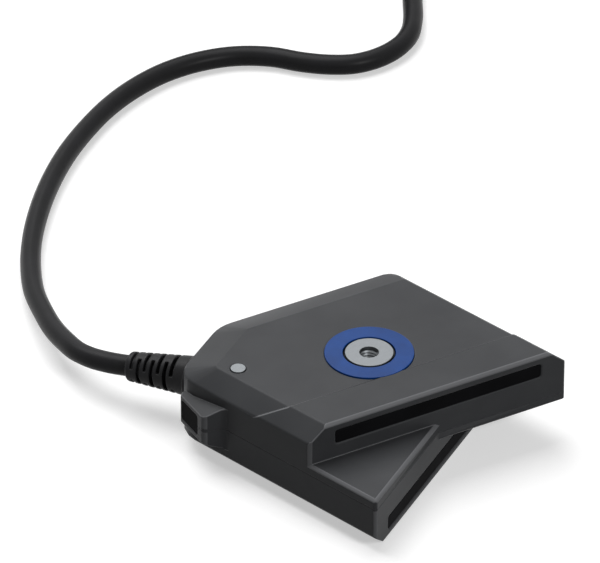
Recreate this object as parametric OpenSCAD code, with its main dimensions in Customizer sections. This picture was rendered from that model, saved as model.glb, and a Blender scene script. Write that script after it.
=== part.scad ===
// Sonar transducer with two crossed array bars in a two-piece moulded housing.
// Millimetres. +Z is up along the mount axis, the arrays look toward -Y.
// The origin lies on the base plane, straight below the mount thread.
// The housing is drawn about its parting plane and lifted by the lower shell's height.

/* [Housing] */
// Width over the two straight sides
body_w = 122; // [110:1:134]
// Height of the upper shell above the parting plane
upper_h = 23; // [21:0.5:28]
// Height of the lower shell below the parting plane
lower_h = 22; // [21:0.5:28]
// Wall thickness of both shells
wall = 3.2; // [2.8:0.1:3.6]
// Angle of each array face from straight ahead
array_angle = 17.6; // [14:0.2:20]
// Mount axis to the line where the two array faces cross
front_reach = 41; // [38:0.5:48]
// Mount axis to the rear face, measured square to it
rear_reach = 59.5; // [56:0.5:66]
// Mount axis to the cable face, measured square to it
cable_reach = 73; // [70:0.5:78]
// Plan width of the chamfers along the sides
side_chamfer_w = 8.3; // [6:0.1:9]
// Height of the chamfers and of the rear slopes
chamfer_h = 7.3; // [5:0.1:8]
// Plan width of the two rear slopes of the upper shell
rear_slope_w = 17.4; // [12:0.2:20]
// Height of the lower bar's shelf above the parting plane
shelf_h = 5; // [4.5:0.1:6]
// Depth of the upper bar's ledge below the parting plane
ledge_h = 4.5; // [4:0.1:6]
// Width of the raised strip behind the upper array face
strip_w = 20; // [17:0.5:23]
// Height of the raised strip over the top behind it
strip_step = 0.7; // [0.4:0.1:1]
// Radius of the soft edges above and below the slopes
soft_r = 3; // [1:0.5:4]
// Bevel along the front edges
edge_bevel = 1.2; // [0.6:0.1:1.6]
// Corner radius between the side and the cable face
nose_r = 14; // [8:0.5:14]
// Corner radius between the cable face and the rear face
back_r = 20; // [8:1:24]
// Corner radius at the rear right
corner_r = 7; // [4:0.5:10]

/* [Array windows] */
// Distance in plan from a window's end to the side
window_margin = 12.4; // [11.5:0.1:16]
// Height of the long windows
window_h = 6.4; // [5:0.1:6.8]
// Top face to the middle of the upper window
upper_window_drop = 7.8; // [7.6:0.1:9]
// Base to the middle of the lower window
lower_window_drop = 7.2; // [7:0.1:9]
// Depth of a window below its face
window_recess = 0.2; // [0.1:0.1:0.5]
// Width of one ceramic element
element_w = 2.4; // [1.8:0.1:3]
// Gap between two elements
element_gap = 0.45; // [0.3:0.05:0.8]

/* [Side lug] */
// Mount axis to the side window's face, measured square to it
side_reach = 76; // [74.5:0.5:80]
// Where the lug's ramp leaves the side, behind the mount axis
lug_start = 28.6; // [24:0.2:30]
// Front end of the lug's face behind the mount axis, along the face
lug_front = 11.4; // [9:0.1:13]
// Rear end of the lug's face behind the mount axis, along the face
lug_back = 32.7; // [31.5:0.1:34]
// Radius of the fillet between the side and the lug's ramp
lug_fillet = 4; // [2:0.5:6]
// Height of the lug's face
lug_face_h = 14; // [13:0.5:17]
// Slope of the lug's top and underside
lug_slope = 21.5; // [15:0.5:26]
// Length of the side window
side_window_w = 14; // [10:0.5:15]
// Height of the side window
side_window_h = 10; // [8:0.5:10.5]
// Middle of the side window behind the mount axis, along its face
side_window_back = 23.5; // [22:0.5:25]

/* [Mount] */
// Outside diameter of the blue seat ring
ring_d = 39; // [34:0.5:44]
// Width of the seat ring
ring_w = 8; // [6:0.5:9]
// Thickness of the seat ring
ring_t = 1.2; // [1:0.1:2]
// Bore of the mount thread
thread_d = 8.5; // [6.8:0.1:10.2]
// Depth of the mount thread
thread_depth = 14; // [10:0.5:15]

/* [Temperature button] */
// Diameter of the button
button_d = 6.6; // [5:0.1:8]
// Button to the side of the mount axis
button_x = -47; // [-48:0.5:-42]
// Button behind the mount axis
button_y = 33.6; // [28:0.2:34]

/* [Cable] */
// Cable diameter
cable_d = 9.5; // [8:0.1:10.5]
// Where the cable leaves the cable face
boot_x = -41; // [-43:0.5:-38]
// Length of the slotted boot
boot_len = 31; // [28:0.5:40]
// Boot diameter at the housing
boot_root_d = 18.2; // [17:0.1:19]
// Boot diameter at its tip
boot_tip_d = 13.2; // [12:0.1:14]
// Number of slot rows in the boot
slot_rows = 7; // [5:1:8]
// Distance from one slot row to the next
slot_pitch = 3.4; // [3:0.1:3.6]
// Width of a slot
slot_w = 1.75; // [1.2:0.05:2]

/* [Screws] */
// Diameter of the housing screws
screw_d = 4; // [3:0.1:4.4]
// Diameter of the housing screw heads
screw_head_d = 7.6; // [6:0.1:8]
// Diameter of the circuit board's screws
board_screw_d = 2.5; // [2:0.1:3]

/* [Plug] */
// Diameter of the plug's grip
plug_d = 24; // [20:0.5:28]
// Length of the plug's grip with its tail
plug_len = 36; // [30:1:44]
// Diameter of the plug's barrel
barrel_d = 18; // [15:0.5:19]
// Number of contacts round the middle one
pin_count = 8; // [5:1:9]

/* [Hidden] */

// Colours
shell_black = "#34363a";
window_black = "#0d0d0f";
rubber_black = "#232426";
cable_black = "#2a2b2d";
seat_blue = "#0d4a94";
steel = "#b4b8bd";
brass = "#c2a04e";
ceramic = "#d8d2bf";
resin = "#5b5348";
card_green = "#1f5a3c";
chip_grey = "#3a3b3f";
film_amber = "#b5762a";
seal_grey = "#6b6d70";

$fn = 64;
big = 400;
lap = 1;
fit = 0.05;
arc_steps = 10;
turn_steps = 4;
least_r = 1;
strip_lean = 37;
lug_run = 10;
lug_depth = 25;
window_r = 1;

sn = sin(array_angle);
cs = cos(array_angle);
tn = tan(array_angle);
half_w = body_w / 2;
top_h = upper_h - strip_step;
window_len = (body_w - 2 * window_margin) / cs;

// Cord points chosen by hand on the floor behind the housing, from the boot's tip to the coil
lead_route = [
    [-54, 105, 17], [-55.5, 114, 15.9], [-55, 123, 14.7], [-51.5, 134, 13],
    [-46, 147, 11], [-37.5, 162, 9], [-27, 178, 7], [-14, 193, 5.75],
    [4, 210, 4.75], [24, 225, 4.75], [45, 238, 4.75], [66, 248.5, 4.75],
    [86, 256, 4.75], [106, 261.5, 4.75], [126, 264, 4.75], [146, 263, 4.75],
    [163, 258, 4.75], [178, 249, 4.75], [189, 236.5, 4.75], [196, 222, 4.75],
    [203.5, 211, 4.75], [211, 204, 4.75], [220, 200, 4.75], [229.5, 198.5, 4.75],
    [239.5, 199.5, 4.75], [248.5, 203, 4.75], [257, 209, 4.75], [271, 222, 4.9],
    [285, 235, 5.15], [299.5, 248.5, 5.5]
];
tail_route = [
    [230, 435.5, 34], [212, 435.5, 30], [194, 435.5, 24.5],
    [177, 435.5, 19], [161, 435.5, 14.5], [147, 435.5, 12.4]
];
cord_sides = 10;
coil_x = 290;
coil_y = 353;
coil_mean_r = 67.5;
coil_half_w = 15;
coil_layers = 4;
coil_rise = 9.8;
coil_entry = -47;
coil_exit = 90;
stub_len = 45;
strap_t = 1;
strap_w = 16;
strap_slack = 1;
strap_turns = [30, 200];
plug_x = 136;
plug_y = 435.5;

// Room round the housing screws, and the play left round pieces that are pushed in
boss_wall = 2.4;
boss_r = screw_d / 2 + boss_wall;
boss_gap = 0.4;
drive_share = 0.42;
board_gap = 0.6;
boot_flange_t = 2.5;

// Small helpers
function unit(v) = v / norm(v);
function turn(a, b) = let (d = b - a) d > 180 ? d - 360 : d < -180 ? d + 360 : d;

// Points that round the corner p between a and b
function corner(a, p, b, r, n = arc_steps) =
    let (
        u = unit(a - p),
        v = unit(b - p),
        half = acos(u * v) / 2,
        c = p + unit(u + v) * r / sin(half),
        s = p + u * r / tan(half) - c,
        e = p + v * r / tan(half) - c,
        from = atan2(s.y, s.x),
        step = turn(from, atan2(e.y, e.x)) / n
    )
    [for (i = [0 : n]) c + r * [cos(from + step * i), sin(from + step * i)]];

// Points of a rectangle with round corners
function rounded(w, h, r, n = 5) = [
    for (q = [0 : 3], i = [0 : n])
        let (sx = q == 0 || q == 3 ? 1 : -1, sy = q < 2 ? 1 : -1, a = 90 * (q + i / n))
            [sx * (w / 2 - r) + r * cos(a), sy * (h / 2 - r) + r * sin(a)]
];

module lifted() {
    translate([0, 0, lower_h])
        children();
}

module above_parting() {
    translate([-big / 2, -big / 2, 0])
        cube(big);
}

// Plan of one half: way is 1 for the upper bar and -1 for the lower one
function front_y(way, x, inset = 0) = -front_reach + inset / cs - way * x * tn;

function outline(way, inset = 0) =
    let (
        wx = half_w - inset,
        rd = rear_reach - inset,
        cd = cable_reach - inset,
        fl = [-wx, front_y(way, -wx, inset)],
        fr = [wx, front_y(way, wx, inset)],
        rr = [wx, (rd - wx * sn) / cs],
        rc = [(rd - cd) / (2 * sn), (rd + cd) / (2 * cs)],
        nl = [-wx, (cd - wx * sn) / cs],
        b = inset > 0 ? fit : edge_bevel
    )
    concat(
        [fl + b * unit(nl - fl), fl + b * unit(fr - fl), fr + b * unit(fl - fr), fr + b * unit(rr - fr)],
        corner(fr, rr, rc, max(corner_r - inset, least_r), turn_steps),
        corner(rr, rc, nl, max(back_r - inset, least_r), turn_steps),
        corner(rc, nl, fl, max(nose_r - inset, least_r), turn_steps)
    );

// A slanted cut that lowers the edge of the face at reach along the direction ang
module slant(ang, reach, w, drop, h, inset = 0) {
    rotate([0, 0, ang])
        translate([reach - w, 0, h])
            rotate([0, atan(drop / w), 0])
                translate([-big / 2, -big / 2, -inset])
                    cube(big);
}

// Where two slopes cross that leave the top at x0 and x1
function slope_cross(x0, x1, lean0, lean1) =
    (x1 * tan(lean1) - x0 * tan(lean0)) / (tan(lean1) - tan(lean0));

// Everything inside one sloped side of a bar, with a soft edge above the slope and below it
module slope_side(face, h, inset) {
    ang = face[0];
    w = face[2];
    lean = atan(chamfer_h / w);
    mid = (lean + 90) / 2;
    slope_x = face[1] - w - inset / sin(lean);
    crown_x = slope_x - soft_r * (tan(lean / 2) - tan(lean / 4));
    depth = (sin(lean) * (soft_r - w) - soft_r) / cos(lean);
    skirt_x = face[1] - soft_r + (cos(mid) * depth + soft_r) / sin(mid);
    crown_end = slope_cross(crown_x, slope_x, lean / 2, lean);
    skirt_end = slope_cross(slope_x, skirt_x, lean, mid);
    rim_x = face[1] + wall;
    soft = [
        [crown_x, h],
        [crown_end, h - (crown_end - crown_x) * tan(lean / 2)],
        [skirt_end, h - (skirt_end - slope_x) * tan(lean)],
        [rim_x, h - (rim_x - skirt_x) * tan(mid)]
    ];
    plain = [[slope_x, h], [rim_x, h - (rim_x - slope_x) * tan(lean)]];
    rotate([90, 0, ang])
        translate([0, 0, -big])
            linear_extrude(2 * big)
                polygon(concat([[-big, h]], inset > 0 ? plain : soft, [[rim_x, -big], [-big, -big]]));
}

// Sides of a bar that have a slope: direction, reach and plan width, and the radius to the next one
function slope_sides(slope_w) = [
    [0, half_w, side_chamfer_w, corner_r],
    [90 - array_angle, rear_reach, slope_w, back_r],
    [90 + array_angle, cable_reach, slope_w, nose_r],
    [180, half_w, side_chamfer_w, 0]
];

// Middle of the round corner between two sides
function turn_middle(a, b) =
    let (ra = a[1] - a[3], rb = b[1] - a[3])
        [ra * sin(b[0]) - rb * sin(a[0]), rb * cos(a[0]) - ra * cos(b[0])] / sin(b[0] - a[0]);

// Small slopes that carry the slope of side a round its corner to side b
function turn_sides(a, b) = [
    for (i = [0 : turn_steps - 1])
        let (
            share = (i + 0.5) / turn_steps,
            ang = a[0] + share * (b[0] - a[0]),
            reach = turn_middle(a, b) * [cos(ang), sin(ang)] + a[3] * cos((b[0] - a[0]) / turn_steps / 2)
        )
            [ang, reach, a[2] + share * (b[2] - a[2])]
];

// One bar with its outer face up, from its parting plane
module bar(way, h, slope_w, inset = 0, below = 0) {
    sides = slope_sides(slope_w);
    turns = [for (k = [0 : 2]) each turn_sides(sides[k], sides[k + 1])];
    difference() {
        intersection() {
            translate([0, 0, -below])
                linear_extrude(h - inset + below)
                    polygon(outline(way, inset));
            intersection_for (side = concat(sides, turns))
                slope_side(side, h, inset);
        }
        if (inset == 0)
            slant(-90 - way * array_angle, front_reach * cs, edge_bevel, edge_bevel, h);
    }
}

// The plate of one half that carries on past the other half's bar
module slab(way, h) {
    difference() {
        linear_extrude(h)
            polygon(outline(way));
        slant(0, half_w, edge_bevel, edge_bevel, h);
        slant(180, half_w, edge_bevel, edge_bevel, h);
        slant(-90 - way * array_angle, front_reach * cs, edge_bevel, edge_bevel, h);
    }
}

// Everything in front of the leaning step behind the raised strip
module strip_zone() {
    rotate([0, 0, -array_angle])
        translate([0, strip_w - front_reach * cs, upper_h])
            rotate([-strip_lean, 0, 0])
                translate([-big / 2, -big / 2, -big])
                    cube(big);
}

// Places on the side lug: out from the mount axis, square to its face, and back along the face
function side_point(out, back) = out * [-cs, sn] + back * [sn, cs];

module lug() {
    rise = lug_run * tan(lug_slope);
    top = lug_face_h / 2 + rise;
    root = [-half_w, lug_start];
    toe = side_point(side_reach, lug_front);
    heel = side_point(side_reach, lug_back);
    along = unit(heel - toe);
    difference() {
        translate([0, 0, -top])
            linear_extrude(2 * top)
                polygon(concat(
                    [root + [wall, -2 * lug_fillet]],
                    corner(root - [0, 2 * lug_fillet], root, toe, lug_fillet),
                    [toe + edge_bevel * unit(root - toe), toe + edge_bevel * along],
                    [heel - edge_bevel * along, heel + edge_bevel * [cs, -sn]],
                    [side_point(side_reach - lug_depth, lug_back)]
                ));
        for (flip = [0, 1])
            mirror([0, 0, flip])
                slant(180 - array_angle, side_reach, lug_run, rise, top);
    }
}

// Frames of the side window, of each array and of the cable's exit
module side_frame() {
    rotate([0, 0, 180 - array_angle])
        translate([side_reach, -side_window_back, 0])
            children();
}

module array_frame(way) {
    translate([0, -front_reach, way > 0 ? upper_h - upper_window_drop : lower_window_drop - lower_h])
        rotate([0, 0, -way * array_angle])
            children();
}

module boot_frame() {
    translate([boot_x, (cable_reach + boot_x * sn) / cs, 0])
        rotate([0, 0, array_angle])
            rotate([-90, 0, 0])
                children();
}

// A plate square to an array face, from depth v0 to depth v1 behind it
module plate(w, h, v0, v1, r) {
    translate([0, v1, 0])
        rotate([90, 0, 0])
            linear_extrude(v1 - v0)
                polygon(rounded(w, h, r));
}

// Long windows with a flange behind the wall
flange_t = 1.5;
flange_lip = 1;
match_t = 1;
element_t = 2.5;
element_h = 6;
backing_t = 8;
board_t = 1.6;
match_v = wall + flange_t;
element_v = match_v + match_t;
backing_v = element_v + element_t;
card_v = backing_v + backing_t;
socket_v = card_v + board_t;
element_step = element_w + element_gap;
stack_margin = 4.5;
element_count = floor((window_len - 2 * stack_margin) / element_step);
stack_len = element_count * element_step;
roof_gap = 0.15;
match_margin = 1.5;
stack_gap = 0.4;

function flange_h(way) =
    2 * ((way > 0 ? upper_window_drop - strip_step : lower_window_drop) - wall - roof_gap);

// Places of the housing screws and of the main board's screws
head_room = 1.2;
side_screw_x = half_w - side_chamfer_w - head_room - screw_head_d / 2;
side_screw_y = 4;
rear_screw_in = 3.6;
rear_screw_x = side_screw_x - rear_screw_in;
back_screw_x = -12;
slope_room = 8.4;
back_room = 5.6;
card_room = 2.5;
function rear_place(x, room) = [x, (rear_reach - wall - boss_r - room - x * sn) / cs];
screw_places = [
    [-side_screw_x, side_screw_y],
    [side_screw_x, side_screw_y],
    rear_place(rear_screw_x, slope_room),
    rear_place(back_screw_x, back_room),
    [0, (socket_v + boss_r + boss_gap + card_room) / cs - front_reach]
];
board_places = [[-36, 8], [36, 8], [24, 34], [-16, 37]];

module window_piece(way) {
    color(window_black)
        lifted()
            array_frame(way) {
                plate(window_len, window_h, window_recess, wall, window_r);
                plate(window_len + 2 * flange_lip, flange_h(way), wall, match_v, window_r / 2);
            }
}

module window_cut(way) {
    array_frame(way)
        plate(window_len + 2 * fit, window_h + 2 * fit, -lap, wall + lap, window_r);
}

module upper_window() {
    window_piece(1);
}

module lower_window() {
    window_piece(-1);
}

// Matching layer, ceramic elements and backing of each array
module matching(way) {
    color(resin)
        lifted()
            array_frame(way)
                plate(
                    stack_len + 2 * match_margin, flange_h(way) - stack_gap, match_v, element_v, window_r / 3
                );
}

module elements(way) {
    color(ceramic)
        lifted()
            array_frame(way)
                for (i = [0 : element_count - 1])
                    translate([i * element_step + (element_gap - stack_len) / 2, element_v, -element_h / 2])
                        cube([element_w, element_t, element_h]);
}

module backing(way) {
    color(resin)
        lifted()
            array_frame(way)
                plate(stack_len, flange_h(way) - stack_gap, backing_v, card_v, window_r / 3);
}

module upper_matching() {
    matching(1);
}

module lower_matching() {
    matching(-1);
}

module upper_elements() {
    elements(1);
}

module lower_elements() {
    elements(-1);
}

module upper_backing() {
    backing(1);
}

module lower_backing() {
    backing(-1);
}

// Each array's own card stands behind its backing and reaches toward the parting plane
card_reach = 7;

module card(way) {
    far = flange_h(way) / 2 - stack_gap;
    color(card_green)
        lifted()
            array_frame(way)
                translate([-stack_len / 2, card_v, way > 0 ? -card_reach : -far])
                    cube([stack_len, board_t, card_reach + far]);
}

module upper_card() {
    card(1);
}

module lower_card() {
    card(-1);
}

// Main board on bosses of the lower shell, with what it carries
board_z = -7;
board_top = board_z + board_t;
board_front = -13;
board_edge = wall + boot_flange_t + board_gap;
board_grip = 5;
head_t = 1.7;
chips = [[-10, 12, 18, 18, 1.6], [-28, 20, 10, 12, 1.1], [-28, 6, 10, 12, 1.1], [-6, 2, 8, 5, 1.2]];
can_place = [14, 12];
can = [26, 17, 4];
can_t = 0.4;
sensor_place = [5, -9];
sensor = [9, 9, 2.5];

module main_board() {
    color(card_green)
        lifted()
            translate([0, 0, board_z])
                linear_extrude(board_t)
                    difference() {
                        intersection() {
                            polygon(outline(1, board_edge));
                            polygon(outline(-1, board_edge));
                            translate([-big / 2, board_front])
                                square(big);
                        }
                        for (p = screw_places)
                            translate(p)
                                circle(boss_r + board_gap);
                        for (p = board_places)
                            translate(p)
                                circle(d = board_screw_d + 2 * fit);
                    }
}

module board_screws() {
    color(steel)
        lifted()
            for (p = board_places)
                translate([p.x, p.y, board_top])
                    difference() {
                        union() {
                            cylinder(h = head_t, d = 2 * board_screw_d);
                            translate([0, 0, -board_t - board_grip])
                                cylinder(h = board_t + board_grip + head_t / 2, d = board_screw_d);
                        }
                        translate([0, 0, head_t / 2])
                            cylinder(h = head_t, d = drive_share * 2 * board_screw_d, $fn = 6);
                    }
}

module board_chips() {
    color(chip_grey)
        lifted()
            for (c = chips)
                translate([c[0], c[1], board_top])
                    cube([c[2], c[3], c[4]]);
}

module shield_can() {
    color(steel)
        lifted()
            translate([can_place.x, can_place.y, board_top])
                difference() {
                    cube(can);
                    translate([can_t, can_t, -lap])
                        cube([can.x - 2 * can_t, can.y - 2 * can_t, can.z - can_t + lap]);
                }
}

module attitude_sensor() {
    color(chip_grey)
        lifted()
            translate([sensor_place.x, sensor_place.y, board_top])
                cube(sensor);
}

// Socket on the board for the cable's core, in line with the boot
header_w = 14;
header_near = 14;
header_far = 24;
core_r = 3.4;
header_roof = 1.2;

module cable_header() {
    color(chip_grey)
        lifted()
            boot_frame()
                translate([-header_w / 2, -core_r - header_roof, -header_far])
                    cube([header_w, core_r + header_roof - board_top, header_far - header_near]);
}

module cable_core() {
    color(film_amber)
        lifted()
            boot_frame()
                translate([0, 0, -header_near])
                    cylinder(h = header_near - wall - boot_flange_t, r = core_r);
}

// Flat ribbons from each array card to the main board, with their sockets
ribbon_w = 20;
ribbon_t = 0.4;
ribbon_u = 22;
ribbon_reach = 44;
socket_t = 2.4;
socket_h = 3;
socket_lip = 1;
ribbon_drop = 4;
ribbon_lift = 1.5;

module ribbon_frame(way) {
    translate([way * ribbon_u * cs, -front_reach - ribbon_u * sn, 0])
        rotate([0, 0, -way * array_angle])
            translate([-ribbon_w / 2, 0, 0])
                children();
}

function ribbon_z(way) =
    way > 0 ? upper_h - upper_window_drop - ribbon_drop : lower_window_drop - lower_h + ribbon_lift;
function board_face(way) = way > 0 ? board_top + socket_t : board_z - socket_t;

module ribbon(way) {
    z = ribbon_z(way);
    foot = board_face(way);
    color(film_amber)
        lifted()
            ribbon_frame(way) {
                translate([0, socket_v + socket_t, z])
                    cube([ribbon_w, ribbon_reach - socket_v - socket_t, ribbon_t]);
                translate([0, ribbon_reach - ribbon_t, min(z, foot)])
                    cube([ribbon_w, ribbon_t, max(z + ribbon_t, foot) - min(z, foot)]);
            }
}

module upper_ribbon() {
    ribbon(1);
}

module lower_ribbon() {
    ribbon(-1);
}

module ribbon_sockets() {
    w = ribbon_w + 2 * socket_lip;
    color(chip_grey)
        lifted()
            for (way = [1, -1])
                ribbon_frame(way) {
                    translate([-socket_lip, socket_v, ribbon_z(way) + (ribbon_t - socket_h) / 2])
                        cube([w, socket_t, socket_h]);
                    translate([-socket_lip, ribbon_reach - socket_h / 2, min(board_face(way), board_top)])
                        cube([w, socket_h, way > 0 ? socket_t : board_z - board_face(way)]);
                }
}

// Side window and its stack, outward is +X in its frame
side_lip = 1.2;
side_skin = 2.5;
side_flange_t = 1.5;
side_margin = 1.5;
side_element_x = -side_skin - side_flange_t;
side_backing_x = side_element_x - element_t;
side_backing_t = 4;
side_end_x = side_backing_x - side_backing_t;

module side_block(w, h, x0, x1, r) {
    translate([x0, 0, 0])
        rotate([90, 0, 90])
            linear_extrude(x1 - x0)
                polygon(rounded(w, h, r));
}

module side_stack(x0, x1, gap = 0) {
    side_frame()
        side_block(side_window_w - 2 * side_margin + 2 * gap, side_window_h - 2 * side_margin + 2 * gap,
            x0, x1, window_r / 3);
}

module side_form(gap) {
    side_frame() {
        side_block(side_window_w + 2 * gap, side_window_h + 2 * gap, -side_skin - gap,
            gap > 0 ? lap : -window_recess, window_r);
        side_block(side_window_w + 2 * (side_lip + gap), side_window_h + 2 * (side_lip + gap),
            side_element_x, -side_skin, window_r);
    }
}

module side_window() {
    color(window_black)
        lifted()
            side_form(0);
}

module side_element() {
    color(ceramic)
        lifted()
            side_stack(side_backing_x, side_element_x);
}

module side_backing() {
    color(resin)
        lifted()
            side_stack(side_end_x, side_backing_x);
}

module side_cut() {
    side_form(fit);
    side_stack(side_end_x - lug_depth / 2, side_element_x + lap / 2, 4 * fit);
}

// Screws that hold the shells together, let into the base
screw_grip = 11;
screw_head_h = (screw_head_d - screw_d) / 2;
screw_sink = 0.4;

module screw_columns() {
    for (p = screw_places)
        translate([p.x, p.y, 0])
            cylinder(h = big, r = boss_r);
}

module screw_form(gap) {
    translate([0, 0, screw_sink - lower_h]) {
        cylinder(h = screw_head_h, d1 = screw_head_d + 2 * gap, d2 = screw_d + 2 * gap);
        cylinder(h = lower_h - screw_sink + screw_grip + gap, d = screw_d + 2 * gap);
    }
}

module screw_cuts() {
    for (p = screw_places)
        translate([p.x, p.y, 0]) {
            screw_form(fit);
            translate([0, 0, -lower_h - lap])
                cylinder(h = screw_sink + lap + fit, d = screw_head_d + 2 * fit);
        }
}

module housing_screws() {
    color(steel)
        lifted()
            for (p = screw_places)
                translate([p.x, p.y, 0])
                    difference() {
                        screw_form(0);
                        translate([0, 0, -lower_h - lap])
                            cylinder(
                                h = screw_sink + lap + screw_head_h, d = drive_share * screw_head_d, $fn = 6
                            );
                    }
}

// Seal between the shells, let into the lower rim and broken where the window and the boot pass
seal_w = 1.4;
seal_in = 0.9;
seal_t = 1.2;

module both_plan(inset) {
    polygon(outline(1, inset));
    polygon(outline(-1, inset));
}

module seal_form(gap) {
    translate([0, 0, -seal_t])
        linear_extrude(seal_t + (gap > 0 ? lap : 0))
            difference() {
                both_plan(seal_in - gap);
                both_plan(seal_in + seal_w + gap);
            }
}

module housing_seal() {
    color(seal_grey)
        lifted()
            difference() {
                seal_form(0);
                side_cut();
                boot_cut();
            }
}

// Boot held by a flange behind the cable face, then hanging a little, with staggered slots
boot_flange_r = 9.6;
boot_neck_r = 7.5;
boot_collar_t = 3.4;
boot_droop = 6.8;
boot_pivot = 2;
boot_round = 1.2;
boot_core_wall = 0.35;
boot_core_r = cable_d / 2 + boot_core_wall;
boot_collar_lip = 0.3;
slot_sweep = 135;
slot_tip = 3.5;
slot_first = boot_len - slot_tip - slot_w / 2;

module boot_cut() {
    boot_frame()
        translate([0, 0, -wall - lap])
            cylinder(h = wall + 2 * lap, r = boot_neck_r + fit);
}

module boot_cone() {
    tip = boot_tip_d / 2;
    rotate_extrude()
        polygon(concat(
            [[0, 0], [boot_root_d / 2, 0]],
            corner([boot_root_d / 2, 0], [tip, boot_len], [0, boot_len], boot_round),
            [[0, boot_len]]
        ));
}

module boot_slots() {
    for (i = [0 : slot_rows - 1], side = [0, 180])
        translate([0, 0, slot_first - i * slot_pitch])
            rotate([0, 0, side + 90 * ((i + 1) % 2) - slot_sweep / 2])
                rotate_extrude(angle = slot_sweep)
                    translate([boot_core_r, 0])
                        square([boot_root_d, slot_w]);
}

module cable_boot() {
    color(rubber_black)
        lifted()
            boot_frame() {
                translate([0, 0, -wall - boot_flange_t])
                    cylinder(h = boot_flange_t, r = boot_flange_r);
                translate([0, 0, -wall - boot_flange_t / 2])
                    cylinder(h = wall + boot_flange_t / 2 + lap, r = boot_neck_r);
                cylinder(h = boot_collar_t, d = boot_root_d + 2 * boot_collar_lip);
                translate([0, 0, boot_pivot])
                    rotate([-boot_droop, 0, 0])
                        difference() {
                            boot_cone();
                            boot_slots();
                        }
            }
}

// Threaded insert under the mount, with the blue ring that the mount stands on
insert_head_t = 2.2;
insert_floor = 1.6;
insert_gap = 1;
insert_head_d = ring_d - 2 * ring_w - 2 * insert_gap;
insert_wall = 3;
insert_hex = thread_d + 2 * insert_wall;
mount_boss_wall = 5;
insert_len = thread_depth + insert_floor;
mount_boss_r = insert_hex / 2 + mount_boss_wall;
mount_boss_floor = 2;

module insert_form(gap) {
    translate([0, 0, upper_h - insert_len - gap])
        cylinder(h = insert_len, d = insert_hex + 2 * gap, $fn = 6);
    translate([0, 0, top_h - insert_head_t - gap])
        cylinder(h = insert_head_t + gap + strip_step, d = insert_head_d + 2 * gap);
}

module mount_insert() {
    color(steel)
        lifted()
            difference() {
                insert_form(0);
                translate([0, 0, upper_h - thread_depth])
                    cylinder(h = thread_depth + lap, d = thread_d);
            }
}

module ring_form(gap) {
    translate([0, 0, upper_h - ring_t])
        difference() {
            cylinder(h = ring_t + (gap > 0 ? lap : 0), d = ring_d + 2 * gap);
            translate([0, 0, -lap])
                cylinder(h = ring_t + 3 * lap, d = ring_d - 2 * ring_w - 2 * gap);
        }
}

module mount_ring() {
    color(seat_blue)
        lifted()
            ring_form(0);
}

// Temperature button in the top, with its sensor below
button_proud = 0.25;
button_head_t = 1.2;
button_reach = 1.5;
button_stem = wall + button_reach;
thermistor_h = 3;

module button_form(gap) {
    translate([button_x, button_y, top_h - button_head_t - gap])
        cylinder(h = button_head_t + button_proud + gap, d = button_d + 2 * gap);
    translate([button_x, button_y, top_h - button_stem])
        cylinder(h = button_stem, d = button_d / 2 + 2 * gap);
}

module temperature_button() {
    color(steel)
        lifted()
            button_form(0);
}

module thermistor() {
    color(ceramic)
        lifted()
            translate([button_x, button_y, top_h - button_stem - thermistor_h])
                cylinder(h = thermistor_h, d = button_d / 2);
}

// The two shells
module upper_shell() {
    color(shell_black)
        lifted()
            difference() {
                union() {
                    difference() {
                        union() {
                            intersection() {
                                bar(1, upper_h, rear_slope_w);
                                strip_zone();
                            }
                            bar(1, top_h, rear_slope_w);
                            slab(-1, shelf_h);
                            intersection() {
                                lug();
                                above_parting();
                            }
                        }
                        bar(1, top_h, rear_slope_w, wall, lap);
                        translate([0, 0, -lap])
                            linear_extrude(shelf_h - wall + lap)
                                polygon(outline(-1, wall));
                    }
                    intersection() {
                        union() {
                            screw_columns();
                            translate([0, 0, upper_h - insert_len - mount_boss_floor])
                                cylinder(h = big, r = mount_boss_r);
                        }
                        bar(1, top_h, rear_slope_w, wall / 2);
                    }
                }
                window_cut(1);
                side_cut();
                boot_cut();
                screw_cuts();
                insert_form(fit);
                ring_form(fit);
                button_form(fit);
            }
}

module lower_shell() {
    color(shell_black)
        lifted()
            difference() {
                mirror([0, 0, 1]) {
                    difference() {
                        union() {
                            bar(-1, lower_h, side_chamfer_w);
                            slab(1, ledge_h);
                            intersection() {
                                lug();
                                above_parting();
                            }
                        }
                        bar(-1, lower_h, side_chamfer_w, wall, lap);
                        translate([0, 0, -lap])
                            linear_extrude(ledge_h - wall + lap)
                                polygon(outline(1, wall));
                    }
                    intersection() {
                        union() {
                            screw_columns();
                            for (p = board_places)
                                translate([p.x, p.y, -board_z])
                                    cylinder(h = big, d = board_screw_d + 2 * boss_wall);
                        }
                        bar(-1, lower_h, side_chamfer_w, wall / 2);
                    }
                }
                window_cut(-1);
                side_cut();
                boot_cut();
                screw_cuts();
                seal_form(fit);
                for (p = board_places)
                    translate([p.x, p.y, board_z - board_grip - lap])
                        cylinder(h = board_grip + 2 * lap, d = board_screw_d + 2 * fit);
            }
}

// Ends of the cord's free stretches
boot_out = [-sn, cs, 0];
boot_dir = cos(boot_droop) * boot_out - [0, 0, sin(boot_droop)];
boot_root = [boot_x, (cable_reach + boot_x * sn) / cs, lower_h];
boot_tip = boot_root + boot_pivot * boot_out + boot_len * boot_dir;
coil_outer_r = coil_mean_r + coil_half_w;
entry_dir = [-sin(coil_entry), cos(coil_entry), 0];
exit_dir = [-sin(coil_exit), cos(coil_exit), 0];
function coil_place(ang, layer) = [
    coil_x + coil_outer_r * cos(ang),
    coil_y + coil_outer_r * sin(ang),
    strap_t + cable_d / 2 + layer * coil_rise
];
entry_point = coil_place(coil_entry, 0) - stub_len * entry_dir;
exit_point = coil_place(coil_exit, coil_layers - 1) + stub_len * exit_dir;
plug_start = [plug_x, plug_y, plug_d / 2];

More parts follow.
